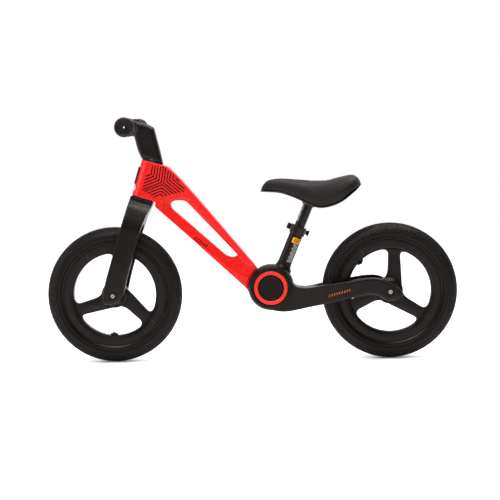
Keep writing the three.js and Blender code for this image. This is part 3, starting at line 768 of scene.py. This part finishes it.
def stem_bolt():
    head = [(0, -11.5), (4.4, -11.5, 0.3), (4.4, -4, 0.8), (3.1, -4, 0.3), (2.5, -4.8, 0.2), (2.5, -8),
            (0, -8)]
    return steel_part("stem_bolt_head", head, bolt_place(), "steering", "stem_bolt", "Z", 48)


def headset():
    bore = STEERER_BORE
    race = [(bore, 218.3), (22, 218.3, 0.4), (23, 219.2, 0.3), (22.6, 219.7, 0.2), (bore, 219.7)]
    steel_part("crown_race_ring", race, STEERING, "steering", "crown_race", "Z")
    cover = [(bore, 301.3), (23.5, 301.3, 0.2), (23.5, 302.0, 0.3), (23.0, 302.2, 0.1), (bore, 302.2)]
    steel_part("headset_cover_ring", cover, STEERING, "steering", "headset_cover", "Z")


def handlebar():
    end = BAR_END - 4.4
    tube = [(8.6, -end), (BAR_RADIUS, -end, 0.8), (BAR_RADIUS, end, 0.8), (8.6, end)]
    steel_part("handlebar_tube", tube, BAR, "steering", "handlebar")
    plug = [(0, BAR_END - 3.9), (1.7, BAR_END - 3.9, 0.1), (1.7, BAR_END - 2.9, 0.3), (0, BAR_END - 2.8)]
    for name, side in SIDES:
        grip(f"grip_sleeve_{name}", side, end - 93.6, f"grip_{name}")
        vent = turned(f"grip_plug_{name}", sided(plug, side), BAR, segments=32)
        dressed(vent, WHITE_INK, "steering", "grip")


def grip(name, side, start, node, rings=13):
    """A soft sleeve with raised rings, an inner collar and a closed outer flange with a vent."""
    path = [(11.4, BAR_END - 4), (11.4, start), (18.6, start, 1.0), (20, start + 1.8, 1.2),
            (20, start + 4.4, 1.2), (17.4, start + 6.4, 2.0), (14.2, start + 11, 1.5)]
    pitch = (BAR_END - 14 - (start + 13)) / rings
    for i in range(rings):
        at = start + 13 + i * pitch
        path += [(13.9, at, 0.5), (15.0, at + 0.28 * pitch, 0.8), (15.0, at + 0.72 * pitch, 0.8),
                 (13.9, at + pitch, 0.5)]
    flange = [(15.2, 11, 1.5), (20.2, 8.4, 1.5), (20.9, 6.6, 1.2), (20.9, 2.6, 1.6), (18.6, 0, 2.0),
              (16.2, 0, 0.8), (15.2, 2.5, 0.8), (2.4, 2.7, 0.3), (1.8, 3.1, 0.2), (1.8, 4)]
    path += [(p[0], BAR_END - p[1], *p[2:]) for p in flange]
    return dressed(turned(name, sided(path, side), BAR), GRIP, "steering", "grip", node, angle=50)


# ------------ front frame

BEAM_SIDE = [(-275, 345), (-247, 458), (-187, 431, 4), (-174.6, 421, 8), (-160.5, 407.6, 9),
             (-125.7, 368, 30), (6.3, 209, 6), (17, 193, 6), (42, 158), (2, 145), (-6.7, 146.8, 4),
             (-11.6, 156.9, 4), (-168.9, 303.4, 16), (-199, 330, 8), (-212, 343)]
RECESS = [(-189, 323, 7), (-189, 348, 6), (-182, 357, 5), (-140, 364, 14), (4, 197, 8), (-8, 180.5, 8),
          (-43, 202, 10)]
SLOT = [(-172, 334, 5), (-175, 344, 4), (-166, 351, 6), (-141.3, 351, 10), (-29, 229.5, 4), (-39, 225, 5),
        (-52.3, 227, 8)]


def head_plan():
    """The head from above: round in front, narrowing a little towards the beams."""
    arc = [ray(a, HEAD_RADIUS) for a in range(90, 271, 6)]
    back = [(14, -HEAD_RADIUS, 10), (86, -BEAM_HALF_WIDTH, 30), (500, -BEAM_HALF_WIDTH)]
    return rounded(arc + both_sides(back))


def front_frame():
    """The head, the two beams and the hinge eye, with a shelving recess around the slot."""
    obj = plate("front_frame_casting", rounded(BEAM_SIDE), -HEAD_RADIUS, HEAD_RADIUS, 0)
    combine(obj, "INTERSECT", plate("plan", head_plan(), -300, HEAD_TOP, 0, STEERING, "XY"))
    widest = BEAM_HALF_WIDTH + 4
    combine(obj, "INTERSECT", plate("bevels", rounded(BEAM_SIDE), -widest, widest, 7))
    bored(obj, STEERING, 38, 100, HEAD_BOTTOM, segments=96)
    for side in (LEFT, RIGHT):
        bored(obj, HUB, CHEEK_RADIUS + 2.6, side * EYE_HALF_WIDTH, side * 40, "Y", 96)
    eye = round_bar(EYE_RADIUS, -EYE_HALF_WIDTH, EYE_HALF_WIDTH, 1)
    head = round_bar(HEAD_RADIUS, HEAD_BOTTOM, HEAD_TOP, 1.5)
    combine(obj, "UNION", turned("eye", eye, HUB), turned("head", head, STEERING, "Z"))
    recess, slot = rounded(RECESS, 8), rounded(SLOT, 8)
    levels = [(recess, -30), (recess, -19.4), (slot, -13.5), (slot, 13.5), (recess, 19.4), (recess, 30)]
    shelf = skinned("shelf", [[[(p.x, y, p.y) for p in loop] for loop, y in levels]])
    combine(obj, "DIFFERENCE", shelf)
    softened(obj, 1.15, 4)
    combine(obj, "DIFFERENCE", *[tube_loop("line", recess, 1.0, side * 19.5) for side in (LEFT, RIGHT)])
    bored(obj, STEERING, 19, HEAD_BOTTOM - 3, HEAD_TOP + 3)
    bored(obj, HUB, BUSH_RADIUS + GAP, -40, 40, "Y")
    near, far = PIN_DISTANCE - PIN_RADIUS - 0.7, PIN_DISTANCE + PIN_RADIUS + 0.7
    track = [(near, -19), (far, -19), (far, -13.2), (near, -13.2)]
    combine(obj, "DIFFERENCE", turned("pin track", track, HUB))
    return dressed(obj, RED, "front", "red_paint", "front_frame", angle=60)


def head_badge():
    """A gloss plate curved around the front of the head, and a small pale sticker below it."""
    half = degrees(asin(11 / 26.6))
    shield = wrapped("head_badge_plate", [(26.6, -half, half, 245, 283)], STEERING, 2.2)
    edge = shield.modifiers.new("edge", "BEVEL")
    edge.width, edge.segments, edge.limit_method = 0.7 * MM, 3, "ANGLE"
    dressed(baked(shield), BADGE, "front", "badge", "head_badge")
    sticker = wrapped("head_sticker", [(24.25, 6, 34, 231.5, 240.5)], STEERING, 0.6)
    dressed(sticker, WHITE_INK, "front", "badge")
    marks = [(24.4, 10, 30, z, z + 1.1) for z in (233, 235.4, 237.8)]
    dressed(wrapped("head_sticker_marks", marks, STEERING, 0.5), BLACK_INK, "front", "badge")


def clipped(start, end, region):
    """The part of a stroke that lies inside a convex region given anticlockwise, or None."""
    low, high = 0.0, 1.0
    for corner, following in zip(region, region[1:] + region[:1]):
        side = Vector(following) - Vector(corner)
        inward = Vector((-side.y, side.x))
        here, there = inward.dot(start - Vector(corner)), inward.dot(end - Vector(corner))
        if here < 0 and there < 0:
            return None
        if here * there < 0:
            share = here / (here - there)
            low, high = (max(low, share), high) if here < 0 else (low, min(high, share))
    if (high - low) * (end - start).length < 4:
        return None
    return start + (end - start) * low, start + (end - start) * high


def head_pattern():
    """Nested angles about one centre, in three directions, over the flat side of the head."""
    centre = Vector((-190, 389))
    region = [(-234, 376), (-206, 357), (-135, 371), (-160, 402), (-183, 425), (-219, 428)]
    strokes = []
    for turn in (80, 200, 320):
        first, second = ray(turn), ray(turn + 120)
        for k in range(5):
            apex = centre + (first + second) * (3.0 + 7.0 * k)
            for way in (first, second):
                part = clipped(apex - way * 0.7, apex + way * (52 - 6 * k), region)
                if part:
                    strokes.append(line(*part, 2.5))
    return strokes


def slanted_bars(start, end, count, length, width, lean):
    """A row of short slanted strokes, as a plain trim."""
    start, end = Vector(start), Vector(end)
    heading = (end - start).normalized()
    up = Vector((-heading.y, heading.x)) * cos(lean) + heading * sin(lean)
    return [line(p - up * length / 2, p + up * length / 2, width)
            for p in (start.lerp(end, i / (count - 1)) for i in range(count))]


def add_front_frame():
    casting = front_frame()
    for name, side in SIDES:
        pattern = printed(f"head_pattern_{name}", head_pattern(), casting, side)
        dressed(pattern, BLACK_INK, "front", "badge")
        bars = slanted_bars((-121, 267.5), (-98, 250.5), 6, 8.5, 2.6, 0.35)
        dressed(printed(f"beam_bars_{name}", bars, casting, side), BLACK_INK, "front", "badge")
    head_badge()


# ------------ rear frame and folding hub


def rear_frame():
    """Two hub cheeks, the seat tube and two stays, cast in one and open for the front frame's eye."""
    side = rounded([(42, 158), (78, 186), (84, 174, 6), (96, 159, 9), (120, 156.5, 8), (171, 166, 14),
                    (250, 178.5, 14), (276, 178, 11), (305, 165, 8), (326, 147, 5), (326, 137, 4.5),
                    (314, 129.5, 7), (293, 127.5, 7), (274, 140.5, 10), (256, 142.8, 7), (217, 135, 14),
                    (127, 116, 14), (80, 105.4, 14), (61, 105.7, 8), (38, 110.5)])
    plan = rounded(both_sides([(-20, CHEEK_OUTER), (92, CHEEK_OUTER, 12), (135, 46, 14), (165, 57, 12),
                               (200, LEG_OUTER, 8), (340, LEG_OUTER), (340, LEG_INNER),
                               (200, LEG_INNER, 8), (168, 41, 10), (146, 28, 9), (138, 14, 8)]))
    obj = plate("rear_frame_casting", side, -LEG_OUTER, LEG_OUTER, 4.5)
    combine(obj, "INTERSECT", plate("plan", plan, 60, 220, 0, BIKE, "XY"))
    drum = both_sides([(0, -CHEEK_OUTER), (43, -CHEEK_OUTER, 5), (CHEEK_RADIUS, -22, 6)])
    tube = [(0, 20), (20.5, 20), (20.5, 45, 1), (16.2, 49.5, 4), (TUBE_RADIUS, 60, 5),
            (TUBE_RADIUS, TUBE_TOP, 0.5), (0, TUBE_TOP)]
    combine(obj, "UNION", turned("drum", drum, HUB), turned("tube", tube, SEAT_TUBE, "Z"))
    softened(obj, 1.2, 4)
    open_hub(obj)
    bored(obj, HUB, SLEEVE_RADIUS + GAP, -60, 60, "Y")
    bored(obj, HUB, BUTTON_RADIUS + 0.7, -CHEEK_OUTER - 3, -22, "Y", 96)
    bored(obj, SEAT_TUBE, POST_BORE, 58, 150)
    slit = plate("slit", rounded([(-1.2, 128), (1.2, 128), (1.2, 150), (-1.2, 150)]), 5, 20, 0, SEAT_TUBE)
    combine(obj, "DIFFERENCE", slit)
    axle_holes(obj, REAR_AXLE)
    return dressed(obj, CASTING, "rear", "black_casting", "rear_frame", angle=60)


def open_hub(obj):
    """Cuts the room for the eye and the beams between the two cheeks."""
    room = round_bar(43.5, -CHEEK_INNER, CHEEK_INNER)
    sweep = [ray(a, 75) for a in (124, 150, 180, 210, 240, 270, 297)]
    mouth = plate("mouth", rounded([(0, 0)] + sweep), -CHEEK_INNER, CHEEK_INNER, 0, HUB)
    return combine(obj, "DIFFERENCE", turned("room", room, HUB), mouth)


def fold_button():
    """The push button, dished, with a fine ring near its edge, and the lock pin behind it."""
    cap = [(0, -34.5), (22.0, -34.5, 2), (23.6, -BUTTON_FACE, 1.0), (25.4, -BUTTON_FACE, 1.0),
           (BUTTON_RADIUS, -33.2, 1.2), (BUTTON_RADIUS, -27.5, 0.6), (0, -27.5)]
    obj = turned("fold_button_cap", cap, HUB)
    pin = [(0, -29), (PIN_RADIUS, -29), (PIN_RADIUS, -17.8, 0.6), (0, -17.8)]
    at_pin = HUB @ Matrix.Translation((0, 0, PIN_DISTANCE))
    combine(obj, "UNION", turned("pin", pin, at_pin, "Y", 32))
    return dressed(obj, BUTTON, "fold_button", "button", "fold_button")


def add_hub():
    fold_button()
    cap = [(0, 32.3), (BUTTON_RADIUS, 32.3, 0.3), (BUTTON_RADIUS, 33.4, 1.0), (25.4, BUTTON_FACE, 1.0),
           (23.6, BUTTON_FACE, 1.0), (22, 34.5, 2), (0, 34.5)]
    dressed(turned("hub_cap_cover", cap, HUB), BUTTON, "rear", "button", "hub_cap_right")
    ring = [(28.2, 32.3), (36.5, 32.3, 0.3), (36.5, 34.8, 0.8), (35.2, 36.2, 1.0), (29.8, 36.2, 1.0),
            (28.2, 34.8, 0.8)]
    disc = [(37.4, 32.3), (45.5, 32.3, 0.3), (45.5, 33.4, 0.8), (43.2, 34.8, 1.6), (38.4, 34.8, 0.8),
            (37.4, 34.0, 0.5)]
    for name, side in SIDES:
        obj = turned(f"hub_ring_trim_{name}", sided(ring, side), HUB, segments=128)
        dressed(obj, HUB_RED, "rear", "red_paint", f"hub_ring_{name}")
        obj = turned(f"hub_disc_trim_{name}", sided(disc, side), HUB, segments=128)
        dressed(obj, TRIM, "rear", "hub_trim", f"hub_disc_{name}")


def add_rear_frame():
    casting = rear_frame()
    for name, side in SIDES:
        bars = slanted_bars((169, 141), (212, 152.5), 9, 5.5, 1.5, 0.45)
        dressed(printed(f"stay_bars_{name}", bars, casting, side, 0.2), RED_INK, "rear", "badge")
    label = wrapped("tube_label", [(15.2, 77, 150, 105, 117)], SEAT_TUBE, 0.6)
    dressed(label, YELLOW_INK, "rear", "badge")
    marks = [(15.35, 88, 138, z, z + 1.5) for z in (107.5, 110.5, 113.5)]
    dressed(wrapped("tube_label_marks", marks, SEAT_TUBE, 0.5), BLACK_INK, "rear", "badge")
    lines = [(15.2, 98 + 5 * (k % 3), 150 - 4 * (k % 2), 62 + 3.2 * k, 64.3 + 3.2 * k) for k in range(13)]
    dressed(wrapped("tube_notes", lines, SEAT_TUBE, 0.5), GREY_INK, "rear", "badge")


# ------------ seat clamp and saddle


def clamp_collar():
    low, high = CLAMP_LOW, CLAMP_HIGH
    obj = turned("clamp_collar_band", round_bar(CLAMP_RADIUS, low, high, 1.0), SEAT_TUBE, "Z")
    ears = rounded([(-14, 8), (14, 8), (14, SKEWER_Y + 5, 4), (-14, SKEWER_Y + 5, 4)])
    combine(obj, "UNION", plate("ears", ears, SKEWER_Z - 7, SKEWER_Z + 7, 1.5, SEAT_TUBE, "XY"))
    softened(obj, 0.55, 4)
    bored(obj, SEAT_TUBE, TUBE_RADIUS + GAP, low - 2, TUBE_TOP + 0.5)
    bored(obj, SEAT_TUBE, 11.9, TUBE_TOP, high + 2)
    slit = rounded([(-1.2, 5), (1.2, 5), (1.2, 40), (-1.2, 40)])
    combine(obj, "DIFFERENCE", plate("slit", slit, low - 1, high + 1, 0, SEAT_TUBE, "XY"))
    bored(obj, SKEWER, 2.8, -20, 20, "X", 32)
    return dressed(obj, DARK_STEEL, "rear", "dark_steel", "clamp_collar", angle=50)


def clamp_lever():
    x = LEVER_X
    arm = rounded([(x - 3.5, SKEWER_Y), (x - 3.5, 33, 3), (x + 1, 37, 3), (13, 36.4, 2), (18, 35.4, 1),
                   (17.4, 32.3, 1), (-14.6, 32, 1), (-15.2, 28)])
    obj = plate("clamp_lever_arm", arm, SKEWER_Z - 4.5, SKEWER_Z + 4.5, 1.0, SEAT_TUBE, "XY")
    at = SEAT_TUBE @ Matrix.Translation((x, SKEWER_Y, SKEWER_Z))
    combine(obj, "UNION", turned("cam", round_bar(5.7, -6.5, 6.5, 1), at, "Z", 64))
    softened(obj, 0.45, 4)
    return dressed(obj, DARK_STEEL, "clamp_lever", "dark_steel", "clamp_lever", angle=50)


def add_clamp():
    clamp_collar()
    clamp_lever()
    skewer = [(0, -13.8), (2.4, -13.8, 0.3), (2.4, 26, 0.5), (0, 26)]
    dressed(turned("clamp_skewer_rod", skewer, SKEWER, "X", 40), STEEL, "rear", "steel", "clamp_skewer")
    nut = [(2.8, 14.4), (6.5, 14.4, 0.4), (6.5, 16.3, 0.8), (4.5, 18.3, 1.0), (4.5, 20, 1.0),
           (7.2, 23.2, 0.8), (7.0, 25, 0.5), (2.8, 25)]
    steel_part("clamp_nut_knob", nut, SKEWER, "rear", "clamp_nut", "X", 64)


def seat_post():
    tube = [(8.9, POST_BOTTOM), (POST_RADIUS, POST_BOTTOM, 0.5), (POST_RADIUS, POST_TOP, 0.8),
            (8.9, POST_TOP)]
    steel_part("seat_post_tube", tube, SEAT_TUBE, "saddle", "seat_post", "Z")
    ticks = [(11.22, 30, 44 if k % 5 else 52, 154 + 2.5 * k, 154.8 + 2.5 * k) for k in range(19)]
    rule = [(11.22, 26, 30, 153, 201)]
    dressed(wrapped("seat_post_scale", ticks + rule, SEAT_TUBE, 0.4), WHITE_INK, "saddle", "badge")


# Along the saddle from nose to tail: x, top, lower edge and half width.
SADDLE = [(22.5, 370, 366.5, 6), (28, 381, 366.2, 15), (40, 391.2, 365.6, 22), (66, 394.3, 363, 27),
          (100, 390.5, 351, 34), (140, 387, 332, 46), (170, 388, 332, 57), (200, 395.8, 344, 66),
          (222, 400.3, 360.5, 65), (234, 394, 371, 55), (240.5, 384, 378.5, 38)]
FOAM_SWELL, FOAM_STEPS = 2.0, 12
NOSE_LIP, TAIL_LIP = 50, 205  # the shell's edge shows in front of the one and behind the other


def between(a, b, c, d, t):
    """A smooth value between b and c that also heeds the values before and after them."""
    bend, twist = 2 * a - 5 * b + 4 * c - d, 3 * b - a - 3 * c + d
    return 0.5 * (2 * b + (c - a) * t + bend * t * t + twist * t ** 3)


def smoothly(rows, steps):
    """More rows between the given ones, each number running smoothly."""
    fine = []
    for i in range(len(rows) - 1):
        around = [rows[max(i - 1, 0)], rows[i], rows[i + 1], rows[min(i + 2, len(rows) - 1)]]
        fine += [tuple(between(*values, k / steps) for values in zip(*around)) for k in range(steps)]
    return fine + [tuple(rows[-1])]


def over(half_ring, crest, shared=0):
    """A ring up its right half, over the crest and down its left half."""
    return half_ring + [crest] + [(x, -y, z) for x, y, z in reversed(half_ring[shared:])]


def saddle_pad():
    """The foam pad in its cover: drawn in at the lower edge, full at the sides and crowned on top."""
    rings = []
    for x, top, edge, half in smoothly(SADDLE, 5):
        base = min(edge + 3.6, (top + edge) / 2)
        rise = top - base
        right = [(0.90, 0.0), (0.965, 0.10), (0.99, 0.30), (0.985, 0.50), (0.93, 0.70), (0.83, 0.84),
                 (0.66, 0.93), (0.44, 0.98), (0.22, 0.998)]
        half_ring = [(x, half * across, base + rise * up) for across, up in right]
        rings.append(over(half_ring, (x, 0, top)))
    obj = skinned("saddle_cushion", [rings])
    softened(obj, 2.2, 6)
    puffed(obj, FOAM_SWELL)
    bored(obj, SEAT_TUBE, 16.6, 150, 222)
    return dressed(obj, COVER, "saddle", "saddle", "saddle_pad", angle=60)


def puffed(obj, most):
    """Lets the foam press out against its cover, by no more than the given millimetres."""
    before = [v.co.copy() for v in obj.data.vertices]
    cloth = obj.modifiers.new("cloth", "CLOTH")
    cloth.settings.quality = 4
    cloth.settings.use_pressure = True
    cloth.settings.uniform_pressure_force = 4
    cloth.settings.effector_weights.gravity = 0
    scene = bpy.context.scene
    for number in range(FOAM_STEPS):
        scene.frame_set(number + 1)
    settled = obj.evaluated_get(bpy.context.evaluated_depsgraph_get()).data
    shifts = [v.co - start for v, start in zip(settled.vertices, before)]
    obj.modifiers.clear()
    scene.frame_set(1)
    for vertex, start, shift in zip(obj.data.vertices, before, shifts):
        reach = shift.length
        if reach > most * MM:
            shift = shift * (most * MM / reach)
        vertex.co = start + shift


def saddle_shell():
    """The hard tray under the pad, with a lip around it and the socket for the post."""
    rings = []
    for x, top, edge, half in smoothly(SADDLE, 4):
        thick = min(3.2, (top - edge) / 2)
        lip = 1.0 if x < NOSE_LIP or x > TAIL_LIP else 0.925
        right = [(0, 0.25), (0.5, 0.1), (0.80, 0.0), (0.90, 0.12), (lip, 0.5), (0.90, 0.88), (0.5, 0.97)]
        half_ring = [(x, half * across, edge + thick * up) for across, up in right]
        rings.append(over(half_ring, (x, 0, edge + thick), shared=1))
    obj = skinned("saddle_shell_tray", [rings])
    socket = [(0, 192), (13.5, 192, 1), (16, 197, 2), (16, 221, 1), (0, 221)]
    combine(obj, "UNION", turned("socket", socket, SEAT_TUBE, "Z"))
    bored(obj, SEAT_TUBE, POST_BORE, 150, POST_TOP + GAP)
    return dressed(obj, SHELL, "saddle", "shell", "saddle_shell", angle=45)


def add_saddle():
    seat_post()
    saddle_shell()
    saddle_pad()


# ------------ the bike

fork()
stem()
stem_bolt()
headset()
handlebar()
add_front_frame()
add_rear_frame()
add_hub()
add_clamp()
add_saddle()

# The CAD nodes that stay as they are and only take a material.
HIDDEN_NODES = {"steerer": STEEL, "headset_bearing_lower": STEEL, "headset_bearing_upper": STEEL,
                "hinge_bush_left": BRONZE, "hinge_bush_right": BRONZE, "hinge_sleeve": STEEL}
for node, finish in HIDDEN_NODES.items():
    obj = frame["nodes"][node]
    obj.data.materials.clear()
    obj.data.materials.append(finish)

# ------------ studio

# The camera's place in millimetres, its turns and its lens.
CAMERA_AT = Vector((123.7, -4281.7, 487.0)) * MM
YAW, PITCH, ROLL = radians(-1.694), radians(3.306), radians(-1.041)
LENS, SENSOR = 141.4, 36.0
WHITE = (1, 1, 1, 1)
FLOOR_REACH = 6000

LIGHTS = {  # place, target and size in metres, and power in watts
    "front softbox": ((-0.6, -1.5, 2.3), (0, 0, 0.2), 1.1, 46),
    "overhead softbox": ((0.4, 0.0, 2.4), (0, 0, 0.2), 1.6, 80),
    "side softbox": ((-2.3, -0.45, 0.9), (0, 0, 0.3), 1.0, 20),
}


def add_camera():
    ahead = Vector((sin(YAW) * cos(PITCH), cos(YAW) * cos(PITCH), -sin(PITCH)))
    level = Vector((cos(YAW), -sin(YAW), 0))
    upright = level.cross(ahead)
    right = level * cos(ROLL) + upright * sin(ROLL)
    up = upright * cos(ROLL) - level * sin(ROLL)
    data = bpy.data.cameras.new("camera")
    data.lens, data.sensor_width = LENS, SENSOR
    data.clip_end = 100
    camera = add_object("camera", data)
    turn = Matrix((right, up, -ahead)).transposed()
    camera.matrix_world = Matrix.Translation(CAMERA_AT) @ turn.to_4x4()
    bpy.context.scene.camera = camera


def add_light(name, place, target, size, power):
    data = bpy.data.lights.new(name, "AREA")
    data.shape, data.size, data.energy = "SQUARE", size, power
    light = add_object(name, data)
    light.location = place
    light.rotation_euler = (Vector(target) - Vector(place)).to_track_quat("-Z", "Y").to_euler()


def add_world():
    """White to the eye; as a source of light it is bright behind the bike and dim in front of it."""
    world = bpy.data.worlds.new("studio")
    world.use_nodes = True
    sky = Nodes(world.node_tree)
    seen = sky.tree.nodes["Background"]
    seen.inputs["Color"].default_value = WHITE
    place = sky.node("ShaderNodeTexCoord").outputs["Generated"]
    heading = sky.node("ShaderNodeSeparateXYZ", Vector=place).outputs["Y"]
    behind = sky.spread(heading, 0.09, 1.0, -0.1, 0.8)
    lit = sky.node("ShaderNodeBackground", Color=WHITE, Strength=behind)
    blend = sky.node("ShaderNodeMixShader", Fac=sky.node("ShaderNodeLightPath").outputs["Is Camera Ray"])
    sky.feed(blend.inputs[1], lit.outputs[0])
    sky.feed(blend.inputs[2], seen.outputs[0])
    sky.feed(sky.tree.nodes["World Output"].inputs[0], blend.outputs[0])
    bpy.context.scene.world = world


def add_floor():
    """A pale floor with painted light: it glows, which washes out the shadows on it, except close to
    where the two tyres stand, where the glow fades so their contact shadows show.
    """
    look = Look("studio floor", 0.6)
    look.colours((0.62, 0.62, 0.62), (0.60, 0.60, 0.60), 2.0)
    look.shader.inputs["Emission Color"].default_value = WHITE
    split = look.node("ShaderNodeSeparateXYZ", Vector=look.place)
    beside = look.sums("ABSOLUTE", split.outputs["Y"])
    along = look.sums("SUBTRACT", look.sums("ABSOLUTE", split.outputs["X"]), middle("rear_tyre").x * MM)
    away = look.sums("MAXIMUM", beside, look.sums("ABSOLUTE", along))
    # Painted light: the glow is 0.05 within 0.02 m of a tyre's contact and full beyond 0.10 m.
    look.feed(look.shader.inputs["Emission Strength"], look.spread(away, 0.05, 1.0, 0.02, 0.10))
    reach = FLOOR_REACH * MM
    corners = [(-reach, -reach, 0), (reach, -reach, 0), (reach, reach, 0), (-reach, reach, 0)]
    mesh = bpy.data.meshes.new("studio_floor")
    mesh.from_pydata(corners, [], [(0, 1, 2, 3)])
    floor = add_object("studio_floor", mesh)
    mesh.materials.append(look.material)


add_camera()
add_world()
add_floor()
for light_name, settings in LIGHTS.items():
    add_light(light_name, *settings)
bpy.context.scene.view_settings.view_transform = "Standard"
